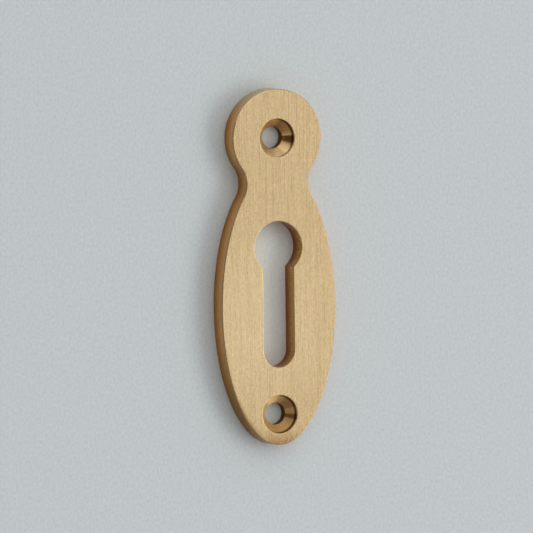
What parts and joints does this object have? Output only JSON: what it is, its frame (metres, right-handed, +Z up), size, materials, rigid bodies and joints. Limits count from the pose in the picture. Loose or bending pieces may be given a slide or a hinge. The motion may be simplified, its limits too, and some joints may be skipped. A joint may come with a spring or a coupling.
{
  "type": "keyhole escutcheon",
  "caption": "Flat brass keyhole escutcheon with a round head, a narrow neck and an oval body, pierced by a keyhole and by countersunk screw holes, for a drawer or cupboard door.",
  "frame": {"origin": "centre of the keyhole's round, on the back face", "axes": "+Z up as the plate is fixed, +Y into the door or drawer front, so the front face looks along -Y"},
  "size_m": [0.0194, 0.003, 0.0549],
  "materials": {
    "satin_brass": "satin brushed, unlacquered"
  },
  "bodies": {
    "root": {"escutcheon_plate": "satin_brass"}
  },
  "joints": []
}
